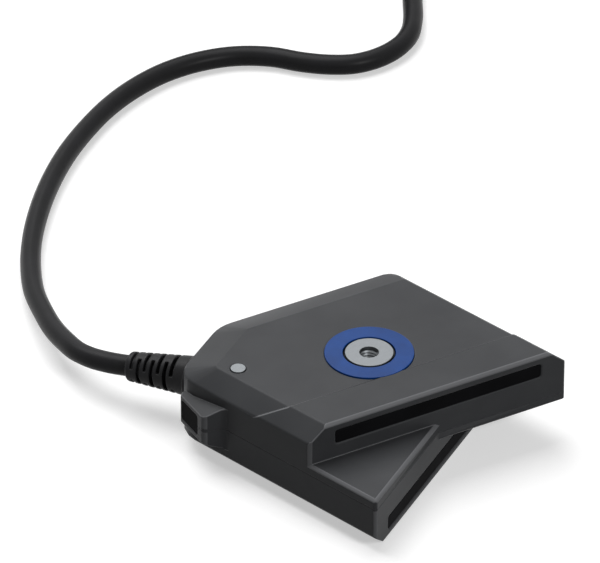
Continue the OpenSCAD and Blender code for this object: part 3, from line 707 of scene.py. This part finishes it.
@dataclass
class RoundedPiece:
    """A copy of a solid whose outer edges are rounded as a mould or a lathe leaves them.

    Attributes:
        room_share: Share of the free room that a rounding may take.
        side_limit: Cosine below which an edge lies beside another, not along it.
        onward_limit: Cosine above which one edge carries on from another.
        stray_share: Share of the radius by which a point may leave the solid.
        tame_share: Shares of the radius within which a stray point halves a rounding.
    """

    node: str
    finish: Finish
    radius: EdgeRadius
    seam_z: float | None = None
    segments: int = 3
    sharp_deg: float = 36.0
    crease_deg: float = 2.0
    room_share: float = 0.85
    side_limit: float = 0.8
    onward_limit: float = 0.7
    seam_limit: float = 0.01 * MM
    stray_share: float = 0.6
    tame_share: float = 1.5
    tries: int = 6

    def _rounds(self, edge: BMEdge) -> bool:
        """Tells whether an edge stands out sharply enough to be rounded."""
        return (
            len(edge.link_faces) == 2
            and edge.is_convex
            and edge.calc_face_angle(0.0) > math.radians(self.sharp_deg)
        )

    def _chamfers(self, shape: BMesh) -> set[int]:
        """Finds the long narrow flats between two sharp edges, such as a chamfer along a rim.

        Args:
            shape: Mesh of the unrounded piece.

        Returns:
            The numbers of their faces.
        """
        shape.faces.index_update()
        chamfers = set()
        for region in flat_regions(shape):
            inside = set(region)
            border = [
                edge
                for face in region
                for edge in face.edges
                if any(other not in inside for other in edge.link_faces)
            ]
            reach = max(edge.calc_length() for edge in border)
            area = sum(face.calc_area() for face in region)
            sharp = sum(edge.calc_length() for edge in border if self._rounds(edge))
            whole = sum(edge.calc_length() for edge in border)
            narrow = reach > RIM_REACH and area < CHAMFER_WIDTH * reach
            if narrow and sharp > CHAMFER_SHARP_SHARE * whole:
                chamfers.update(face.index for face in region)
        return chamfers

    def _room(self, edge: BMEdge) -> float:
        """Gives the room that the edges beside this one leave for its rounding.

        Args:
            edge: Edge to round.

        Returns:
            The room in metres.
        """
        room = math.inf
        for vert in edge.verts:
            along = (edge.other_vert(vert).co - vert.co).normalized()
            for other in vert.link_edges:
                if other is edge or other.calc_face_angle(0.0) < math.radians(self.crease_deg):
                    continue
                end = other.other_vert(vert)
                if abs(along.dot((end.co - vert.co).normalized())) < self.side_limit:
                    shared = any(self._rounds(third) for third in end.link_edges if third is not other)
                    room = min(room, other.calc_length() / (2 if shared else 1))
        return room

    def _width(self, edge: BMEdge) -> float:
        """Gives the widest rounding that an edge has room for.

        Args:
            edge: Edge to round.

        Returns:
            The width in metres, 0 for no rounding.
        """
        if not self._rounds(edge):
            return 0.0
        seam_z = self.seam_z
        if seam_z is not None and all(abs(v.co.z - seam_z) < self.seam_limit for v in edge.verts):
            return EdgeRadius.TRIM.value * MM
        return max(self.room_share * self._room(edge), EdgeRadius.TRIM.value * MM)

    def _runs(self, widths: dict[BMEdge, float]) -> list[list[BMEdge]]:
        """Groups edges that carry on from one to the next, which share one rounding.

        Args:
            widths: Widest rounding by edge.

        Returns:
            The groups.
        """
        waiting = set(widths)
        runs = []
        while waiting:
            run = [waiting.pop()]
            for edge in run:
                for vert in edge.verts:
                    along = (vert.co - edge.other_vert(vert).co).normalized()
                    for other in vert.link_edges:
                        onward = (other.other_vert(vert).co - vert.co).normalized()
                        if other in waiting and along.dot(onward) > self.onward_limit:
                            waiting.discard(other)
                            run.append(other)
            runs.append(run)
        return runs

    def _rim_points(self, runs: list[list[BMEdge]]) -> KDTree:
        """Gives points along the sharp edges that run on far enough to show as a rim.

        Args:
            runs: Groups of edges that carry on from one to the next.

        Returns:
            The points, ready to be searched.
        """
        long_runs = [run for run in runs if sum(edge.calc_length() for edge in run) > RIM_REACH]
        points = []
        for edge in (edge for run in long_runs for edge in run):
            start, end = (vert.co for vert in edge.verts)
            steps = math.ceil(edge.calc_length() / RIM_STEP)
            points.extend(start.lerp(end, step / steps) for step in range(steps + 1))
        tree = KDTree(len(points))
        for number, point in enumerate(points):
            tree.insert(point, number)
        tree.balance()
        return tree

    def _tame(self, piece: Object, solid: BVHTree, runs: list[list[int]]) -> int:
        """Halves the rounding of each run of edges that leaves the solid's surface.

        Args:
            piece: Piece with its rounding.
            solid: Surface of the unrounded piece.
            runs: Numbers of the edges in each run.

        Returns:
            How many points strayed.
        """
        limit = self.stray_share * self.radius.value * MM
        near = self.tame_share * self.radius.value * MM
        rounded = piece.evaluated_get(bpy.context.evaluated_depsgraph_get())
        mesh = rounded.to_mesh()
        stray = {v.index for v in mesh.vertices if solid.find_nearest(v.co)[3] > limit}
        roots = [
            mesh.vertices[b].co.copy()
            for edge in mesh.edges
            for a, b in (tuple(edge.vertices), tuple(edge.vertices)[::-1])
            if a in stray and b not in stray
        ]
        rounded.to_mesh_clear()
        share = piece.data.attributes["bevel_weight_edge"].data
        points = piece.data.vertices
        for run in runs:
            ends = [points[i].co for number in run for i in piece.data.edges[number].vertices]
            if any((end - root).length < near for end in ends for root in roots):
                for number in run:
                    share[number].value /= 2
        piece.data.update()
        return len(stray)

    def build(self, shop: Workshop) -> Object:
        """Builds, rounds and places the piece.

        Args:
            shop: Workshop that dresses it.

        Returns:
            The placed piece.
        """
        shape = solid_copy(self.node)
        shape.edges.index_update()
        width = self.radius.value * MM
        chamfers = self._chamfers(shape)
        solid = BVHTree.FromBMesh(shape)
        weight = shape.edges.layers.float.new("bevel_weight_edge")
        widths = {edge: room for edge in shape.edges if (room := self._width(edge)) > 0}
        runs = self._runs(widths)
        for run in runs:
            for edge in run:
                edge[weight] = min(1.0, min(widths[other] for other in run) / width)
        numbers = [[edge.index for edge in run] for run in runs]
        rims = self._rim_points(runs)
        piece = link_mesh(self.node + "_rounded", shape)
        bevel = piece.modifiers.new("rounding", "BEVEL")
        bevel.affect = "EDGES"
        bevel.limit_method = "WEIGHT"
        bevel.width = width
        bevel.segments = self.segments
        bevel.profile = 0.5
        bevel.material = -1
        bevel.use_clamp_overlap = False
        bevel.loop_slide = False
        for _ in range(self.tries):
            strays = self._tame(piece, solid, numbers)
            LOG.info("%s: %d points off the solid", self.node, strays)
            if not strays:
                break
        rounded = piece.evaluated_get(bpy.context.evaluated_depsgraph_get())
        finished = bpy.data.meshes.new_from_object(rounded)
        piece.modifiers.clear()
        piece.data = finished
        shade_by_region(finished, self.sharp_deg)
        # Rims get their share of the painted edge highlight
        if isinstance(self.finish, MouldedFinish) and self.finish.edge_mm > 0:
            self._mark_highlight_rims(finished, solid, chamfers, rims)
        return shop.place(piece, self.finish, self.node)

    def _mark_highlight_rims(self, mesh: Mesh, solid: BVHTree, chamfers: set[int], rims: KDTree) -> None:
        """Marks the rounded and chamfered rims for the painted highlight, apart from those round
        let-in pieces.

        Args:
            mesh: Finished mesh.
            solid: Surface of the unrounded piece.
            chamfers: Numbers of the chamfer faces of the unrounded piece.
            rims: Points along the sharp edges of the unrounded piece.
        """
        marks = mesh.attributes.new(RIM_HIGHLIGHT_MARK, "FLOAT", "FACE")
        inlays = [BVHTree.FromBMesh(solid_copy(node)) for node in INLAYS]
        for face, mark in zip(mesh.polygons, marks.data):
            _, normal, number, _ = solid.find_nearest(face.center)
            turned = normal.dot(face.normal) < math.cos(RIM_TURN)
            on_rim = turned and rims.find(face.center)[2] < self.radius.value * MM
            if not (on_rim or number in chamfers):
                continue
            if all(inlay.find_nearest(face.center)[3] > INLAY_GAP for inlay in inlays):
                mark.value = RIM_HIGHLIGHT_SHARE


@dataclass
class SoftPiece:
    """A copy of a solid with soft moulded edges all over, as rubber has them."""

    node: str
    finish: Finish
    grain: float = 0.24 * MM
    pull: float = 0.5
    passes: int = 3

    def build(self, shop: Workshop) -> Object:
        """Builds, softens and places the piece.

        Args:
            shop: Workshop that dresses it.

        Returns:
            The placed piece.
        """
        piece = link_mesh(self.node + "_soft", solid_copy(self.node))
        skin = piece.modifiers.new("skin", "REMESH")
        skin.mode = "VOXEL"
        skin.voxel_size = self.grain
        skin.use_smooth_shade = True
        soften = piece.modifiers.new("soften", "SMOOTH")
        soften.factor = self.pull
        soften.iterations = self.passes
        return shop.place(piece, self.finish, self.node)


@dataclass
class CableRun:
    """The cable: out of the strain relief, along the floor, round its coil and into its plug.

    Sizes and places are in metres, and angles in radians.
    """

    diameter: float = 9.5 * MM
    length: float = 6.0
    cable_reach: float = 0.073
    boot_x: float = -0.041
    boot_z: float = 0.022
    boot_pivot: float = 0.002
    boot_len: float = 0.031
    boot_droop: float = math.radians(6.8)
    coil_centre: tuple[float, float] = (0.290, 0.353)
    coil_outer: float = 0.0825
    coil_inner: float = 0.0525
    coil_low: float = 0.00575
    coil_rise: float = 0.0098
    coil_layers: int = 4
    coil_entry: float = math.radians(-47)
    coil_exit: float = math.radians(90)
    coil_turns: int = 12
    climb: float = math.radians(60)
    turn_points: int = 72
    stub: float = 0.045
    plug_start: Point = (0.136, 0.4355, 0.012)
    span_points: int = 5
    lead_route: tuple[Point, ...] = (
        (-0.054, 0.105, 0.017), (-0.0555, 0.114, 0.0159), (-0.055, 0.123, 0.0147),
        (-0.0515, 0.134, 0.013), (-0.046, 0.147, 0.011), (-0.0375, 0.162, 0.009),
        (-0.027, 0.178, 0.007), (-0.014, 0.193, 0.00575), (0.004, 0.210, 0.00475),
        (0.024, 0.225, 0.00475), (0.045, 0.238, 0.00475), (0.066, 0.2485, 0.00475),
        (0.086, 0.256, 0.00475), (0.106, 0.2615, 0.00475), (0.126, 0.264, 0.00475),
        (0.146, 0.263, 0.00475), (0.163, 0.258, 0.00475), (0.178, 0.249, 0.00475),
        (0.189, 0.2365, 0.00475), (0.196, 0.222, 0.00475), (0.2035, 0.211, 0.00475),
        (0.211, 0.204, 0.00475), (0.220, 0.200, 0.00475), (0.2295, 0.1985, 0.00475),
        (0.2395, 0.1995, 0.00475), (0.2485, 0.203, 0.00475), (0.257, 0.209, 0.00475),
        (0.271, 0.222, 0.0049), (0.285, 0.235, 0.00515), (0.2995, 0.2485, 0.0055),
    )
    tail_route: tuple[Point, ...] = (
        (0.230, 0.4355, 0.034), (0.212, 0.4355, 0.030), (0.194, 0.4355, 0.0245),
        (0.177, 0.4355, 0.019), (0.161, 0.4355, 0.0145), (0.147, 0.4355, 0.0124),
    )
    sides: int = 4

    def boot_tip(self) -> Vector:
        """Gives the middle of the strain relief's tip, where the cable comes out.

        Returns:
            The place.
        """
        sine = math.sin(ARRAY_ANGLE)
        cosine = math.cos(ARRAY_ANGLE)
        out = Vector((-sine, cosine, 0.0))
        root_y = (self.cable_reach + self.boot_x * sine) / cosine
        root = Vector((self.boot_x, root_y, self.boot_z))
        droop = math.cos(self.boot_droop) * out - Vector((0.0, 0.0, math.sin(self.boot_droop)))
        return root + self.boot_pivot * out + self.boot_len * droop

    def coil_points(self) -> list[Vector]:
        """Winds the coil layer by layer, inward and outward in turn.

        Returns:
            Points of the coil from its entry at the bottom to its exit at the top.
        """
        sweep = self.coil_turns * FULL_TURN + self.coil_exit - self.coil_entry
        layer_sweep = (sweep - (self.coil_layers - 1) * self.climb) / self.coil_layers
        block = layer_sweep + self.climb
        count = round(self.turn_points * sweep / FULL_TURN)
        points = []
        for i in range(count + 1):
            turned = sweep * i / count
            layer = min(int(turned / block), self.coil_layers - 1)
            within = turned - layer * block
            share = min(within / layer_sweep, 1.0)
            inward = share if layer % 2 == 0 else 1.0 - share
            lift = max(within - layer_sweep, 0.0) / self.climb
            eased = lift * lift * (3 - 2 * lift)
            radius = self.coil_outer + (self.coil_inner - self.coil_outer) * inward
            angle = self.coil_entry + turned
            x = self.coil_centre[0] + radius * math.cos(angle)
            y = self.coil_centre[1] + radius * math.sin(angle)
            z = self.coil_low + self.coil_rise * (layer + eased)
            points.append(Vector((x, y, z)))
        return points

    def _smooth(self, route: list[Vector], first: Vector, last: Vector) -> list[Vector]:
        """Draws one smooth line through a route's points.

        Args:
            route: Points that the line passes through.
            first: Direction in which it starts.
            last: Direction in which it ends.

        Returns:
            The line's points, without its last one.
        """
        slopes = [first.normalized()]
        for before, here, after in zip(route, route[1:], route[2:]):
            near, far = (here - before).length, (after - here).length
            blended = ((here - before) / near * far + (after - here) / far * near) / (near + far)
            slopes.append(blended)
        slopes.append(last.normalized())
        line = []
        for k in range(len(route) - 1):
            span = (route[k + 1] - route[k]).length
            for step in range(self.span_points):
                t = step / self.span_points
                line.append(
                    route[k] * (2 * t**3 - 3 * t**2 + 1)
                    + slopes[k] * span * (t**3 - 2 * t**2 + t)
                    + route[k + 1] * (3 * t**2 - 2 * t**3)
                    + slopes[k + 1] * span * (t**3 - t**2)
                )
        return line

    def path(self) -> list[Vector]:
        """Gives the cable's whole centre line, from the strain relief to the plug.

        Returns:
            The line's points.
        """
        coil = self.coil_points()
        entry_way = Vector((-math.sin(self.coil_entry), math.cos(self.coil_entry), 0.0))
        exit_way = Vector((-math.sin(self.coil_exit), math.cos(self.coil_exit), 0.0))
        droop = Vector(self.lead_route[0]) - self.boot_tip()
        entry = coil[0] - self.stub * entry_way
        leave = coil[-1] + self.stub * exit_way
        lead = [self.boot_tip(), *map(Vector, self.lead_route), entry]
        tail = [leave, *map(Vector, self.tail_route), Vector(self.plug_start)]
        return [
            *self._smooth(lead, droop, entry_way),
            entry,
            *coil,
            *self._smooth(tail, exit_way, Vector((-1.0, 0.0, 0.0))),
            tail[-1],
        ]

    def build(self, shop: Workshop) -> Object:
        """Args:
            shop: Workshop that dresses it.

        Returns:
            The placed cable.
        """
        points = self.path()
        curve = bpy.data.curves.new("cable", "CURVE")
        curve.dimensions = "3D"
        curve.bevel_depth = self.diameter / 2
        curve.bevel_resolution = self.sides
        curve.use_fill_caps = True
        spline = curve.splines.new("POLY")
        spline.points.add(len(points) - 1)
        for point, place in zip(spline.points, points):
            point.co = (*place, 1.0)
        spline.use_smooth = True
        piece = bpy.data.objects.new("cable", curve)
        bpy.context.scene.collection.objects.link(piece)
        return shop.place(piece, CABLE_JACKET, "cable_lead", "cable_coil", "cable_tail")


@dataclass
class MountThread:
    """The screw thread inside the threaded insert, as one wound ridge."""

    core_radius: float = 4.25 * MM
    ridge: float = 0.55 * MM
    pitch: float = 1.5 * MM
    turn_steps: int = 28
    top_gap: float = 0.9 * MM
    bottom_gap: float = 1.2 * MM
    depth: float = 14.0 * MM
    crest_from: float = 0.42
    crest_to: float = 0.58
    weld: float = 0.01 * MM
    sharp_deg: float = 30.0

    def build(self, shop: Workshop) -> Object:
        """Winds the ridge's section round the insert's axis.

        Args:
            shop: Workshop that dresses it.

        Returns:
            The placed thread.
        """
        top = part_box("mount_insert")[1].z
        start = top - self.depth + self.bottom_gap
        turns = (self.depth - self.top_gap - self.bottom_gap) / self.pitch - 1
        steps = round(turns * self.turn_steps)
        crest = self.core_radius - self.ridge
        shape = bmesh.new()
        section = [
            shape.verts.new((self.core_radius, 0.0, start)),
            shape.verts.new((crest, 0.0, start + self.crest_from * self.pitch)),
            shape.verts.new((crest, 0.0, start + self.crest_to * self.pitch)),
            shape.verts.new((self.core_radius, 0.0, start + self.pitch)),
        ]
        edges = [shape.edges.new(pair) for pair in zip(section, section[1:])]
        bmesh.ops.spin(
            shape,
            geom=section + edges,
            axis=(0.0, 0.0, 1.0),
            cent=(0.0, 0.0, 0.0),
            dvec=(0.0, 0.0, self.pitch / self.turn_steps),
            angle=FULL_TURN * turns,
            steps=steps,
            use_merge=False,
        )
        bmesh.ops.remove_doubles(shape, verts=shape.verts, dist=self.weld)
        bmesh.ops.recalc_face_normals(shape, faces=shape.faces)
        level = Vector((1.0, 1.0, 0.0))
        outward = sum(face.normal.dot(face.calc_center_median() * level) for face in shape.faces)
        if outward > 0:
            bmesh.ops.reverse_faces(shape, faces=shape.faces)
        piece = link_mesh("mount_thread_ridge", shape)
        piece.data.set_sharp_from_angle(angle=math.radians(self.sharp_deg))
        return shop.place(piece, STAINLESS)


@dataclass
class Housing:
    """The moulded case with its windows, seat ring and button."""

    rounded: tuple[RoundedPiece, ...] = (
        RoundedPiece("upper_shell", CASE_NYLON, EdgeRadius.CASE, SEAM_Z),
        RoundedPiece("lower_shell", CASE_NYLON, EdgeRadius.CASE, SEAM_Z),
        RoundedPiece("upper_window", WINDOW_URETHANE, EdgeRadius.RIM),
        RoundedPiece("lower_window", WINDOW_URETHANE, EdgeRadius.RIM),
        RoundedPiece("side_window", WINDOW_URETHANE, EdgeRadius.RIM),
        RoundedPiece("mount_ring", SEAT_NYLON, EdgeRadius.RIM),
        RoundedPiece("mount_insert", STAINLESS, EdgeRadius.TRIM),
        RoundedPiece("temperature_button", STAINLESS, EdgeRadius.TRIM),
    )
    thread: MountThread = field(default_factory=MountThread)

    def build(self, shop: Workshop) -> None:
        """Builds and dresses the case's outer pieces.

        Args:
            shop: Workshop that dresses them.
        """
        for piece in self.rounded:
            piece.build(shop)
        self.thread.build(shop)


@dataclass
class CableEnds:
    """The strain relief, the coil's straps and the plug."""

    shaped: tuple[RoundedPiece | SoftPiece, ...] = (
        SoftPiece("cable_boot", BOOT_ELASTOMER),
        RoundedPiece("coil_straps", STRAP_WEAVE, EdgeRadius.RIM),
        RoundedPiece("plug_body", BOOT_ELASTOMER, EdgeRadius.RIB),
        RoundedPiece("plug_barrel", CONTACT_SHELL, EdgeRadius.RIM),
    )
    kept: tuple[str, ...] = ("plug_oring", "plug_insert", "plug_pins")

    def build(self, shop: Workshop) -> list[Object]:
        """Builds the pieces on the cable.

        Args:
            shop: Workshop that dresses them.

        Returns:
            The pieces, from the strain relief to the plug.
        """
        shaped = [piece.build(shop) for piece in self.shaped]
        return shaped + [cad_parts[name] for name in self.kept]


@dataclass
class InnerWorks:
    """The solids that keep their own shape and only get a finish."""

    finishes: tuple[tuple[Finish, tuple[str, ...]], ...] = (
        (SEAL_RUBBER, ("housing_seal", "plug_oring")),
        (STAINLESS, ("housing_screws", "board_screws", "shield_can")),
        (CAST_RESIN, ("upper_matching", "lower_matching")),
        (CAST_RESIN, ("upper_backing", "lower_backing", "side_backing")),
        (ARRAY_CERAMIC, ("upper_elements", "lower_elements", "side_element", "thermistor")),
        (BOARD_LACQUER, ("upper_card", "lower_card", "main_board")),
        (CONTACT_SHELL, ("board_chips", "attitude_sensor", "ribbon_sockets", "cable_header")),
        (FLEX_FILM, ("upper_ribbon", "lower_ribbon", "cable_core")),
        (BOOT_ELASTOMER, ("plug_insert",)),
        (PLATED_CONTACT, ("plug_pins",)),
    )

    def dress(self, shop: Workshop) -> None:
        """Dresses every solid in the list.

        Args:
            shop: Workshop that dresses them.
        """
        for finish, names in self.finishes:
            for name in names:
                shop.dress(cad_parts[name], finish)


@dataclass(frozen=True)
class SoftLamp:
    """A square soft lamp: its place and its side in metres, and its power in watts."""

    name: str
    place: Point
    size: float
    power: float


@dataclass
class Studio:
    """A pale floor, soft lamps and the camera at the reference view."""

    azimuth: float = math.radians(-46.905)
    elevation: float = math.radians(34.224)
    distance: float = 3.5982
    target: Point = (0.045943, 0.084, 0.020)
    sensor: float = 36.0
    frame_width_px: float = 600.0
    focal_px: float = 8110.8
    floor_half: float = 6.0
    floor_gap: float = 0.1 * MM
    floor_tone: str = "#d2d2d2"
    floor_glow: float = 0.48
    floor_bounce: str = "#2a2a2a"
    room_tone: str = "#ffffff"
    ambient: float = 0.08
    view_depth: float = 100.0
    lamps: tuple[SoftLamp, ...] = (
        SoftLamp("key_lamp", (0.3, 1.1, 2.1), 2.1, 66.0),
        SoftLamp("fill_lamp", (-0.05, -1.4, 1.0), 0.4, 10.5),
    )

    def back(self) -> Vector:
        """Gives the way from the target to the camera.

        Returns:
            The direction, of length 1.
        """
        level = math.cos(self.elevation)
        x = math.sin(self.azimuth) * level
        y = -math.cos(self.azimuth) * level
        return Vector((x, y, math.sin(self.elevation)))

    def camera(self) -> None:
        """Puts the camera where the reference view was taken."""
        data = bpy.data.cameras.new("camera")
        data.sensor_width = self.sensor
        data.lens = self.focal_px / self.frame_width_px * self.sensor
        data.clip_end = self.view_depth
        camera = bpy.data.objects.new("camera", data)
        camera.location = Vector(self.target) + self.back() * self.distance
        camera.rotation_mode = "QUATERNION"
        camera.rotation_quaternion = (-self.back()).to_track_quat("-Z", "Y")
        bpy.context.scene.collection.objects.link(camera)
        bpy.context.scene.camera = camera

    def seen(self, tree: NodeTree) -> NodeSocket:
        """Gives a socket that is 1 for what the eye, a shine or a clear piece sees.

        Args:
            tree: Node tree that gets the nodes.

        Returns:
            The socket.
        """
        rays = add_node(tree, "LightPath").outputs
        seen = rays["Is Camera Ray"]
        for kind in ("Is Glossy Ray", "Is Transmission Ray"):
            either = add_node(tree, "Math", {"operation": "MAXIMUM"}, {0: seen, 1: rays[kind]})
            seen = either.outputs["Value"]
        return seen

    def floor(self) -> None:
        """Lays the pale floor, which shows white and keeps the shadow."""
        shape = bmesh.new()
        bmesh.ops.create_grid(shape, x_segments=1, y_segments=1, size=self.floor_half)
        bmesh.ops.translate(shape, verts=shape.verts, vec=(0.0, 0.0, -self.floor_gap))
        piece = link_mesh("floor", shape)
        material, tree, surface = new_material("studio_floor")
        bounce = add_node(tree, "BsdfDiffuse", {"Color": linear(self.floor_bounce)})
        pale = add_node(tree, "BsdfDiffuse", {"Color": linear(self.floor_tone)})
        glow = add_node(tree, "Emission", {"Strength": self.floor_glow})
        white = add_node(
            tree, "AddShader", {}, {0: pale.outputs["BSDF"], 1: glow.outputs["Emission"]}
        )
        mix = add_node(
            tree,
            "MixShader",
            {},
            {"Fac": self.seen(tree), 1: bounce.outputs["BSDF"], 2: white.outputs["Shader"]},
        )
        tree.links.new(mix.outputs["Shader"], surface)
        piece.data.materials.append(material)

    def hang(self, lamp: SoftLamp) -> None:
        """Hangs a lamp so that it looks at the target.

        Args:
            lamp: Lamp to hang.
        """
        data = bpy.data.lights.new(lamp.name, "AREA")
        data.shape = "SQUARE"
        data.size = lamp.size
        data.energy = lamp.power
        hung = bpy.data.objects.new(lamp.name, data)
        hung.location = lamp.place
        hung.rotation_mode = "QUATERNION"
        aim = Vector(self.target) - Vector(lamp.place)
        hung.rotation_quaternion = aim.to_track_quat("-Z", "Y")
        bpy.context.scene.collection.objects.link(hung)

    def world(self) -> None:
        """Lights the room softly and shows it white to the eye and in reflections."""
        world = bpy.data.worlds.new("studio")
        bpy.context.scene.world = world
        world.use_nodes = True
        tree = world.node_tree
        tree.nodes.clear()
        strength = add_node(tree, "MapRange", {"To Min": self.ambient}, {"Value": self.seen(tree)})
        light = add_node(
            tree,
            "Background",
            {"Color": linear(self.room_tone)},
            {"Strength": strength.outputs["Result"]},
        )
        output = tree.nodes.new("ShaderNodeOutputWorld")
        tree.links.new(light.outputs["Background"], output.inputs["Surface"])

    def build(self) -> None:
        """Sets up the camera, the floor, the lamps and the view."""
        self.camera()
        self.floor()
        for lamp in self.lamps:
            self.hang(lamp)
        self.world()
        bpy.context.scene.view_settings.view_transform = "Standard"


def main() -> None:
    """Builds the studio, the cable and every piece in order."""
    logging.basicConfig(level=logging.INFO, format="%(name)s: %(message)s")
    shop = Workshop()
    Studio().build()
    run = CableRun()
    cable = run.build(shop)
    Housing().build(shop)
    ends = CableEnds().build(shop)
    InnerWorks().dress(shop)


if __name__ == "__main__":
    main()
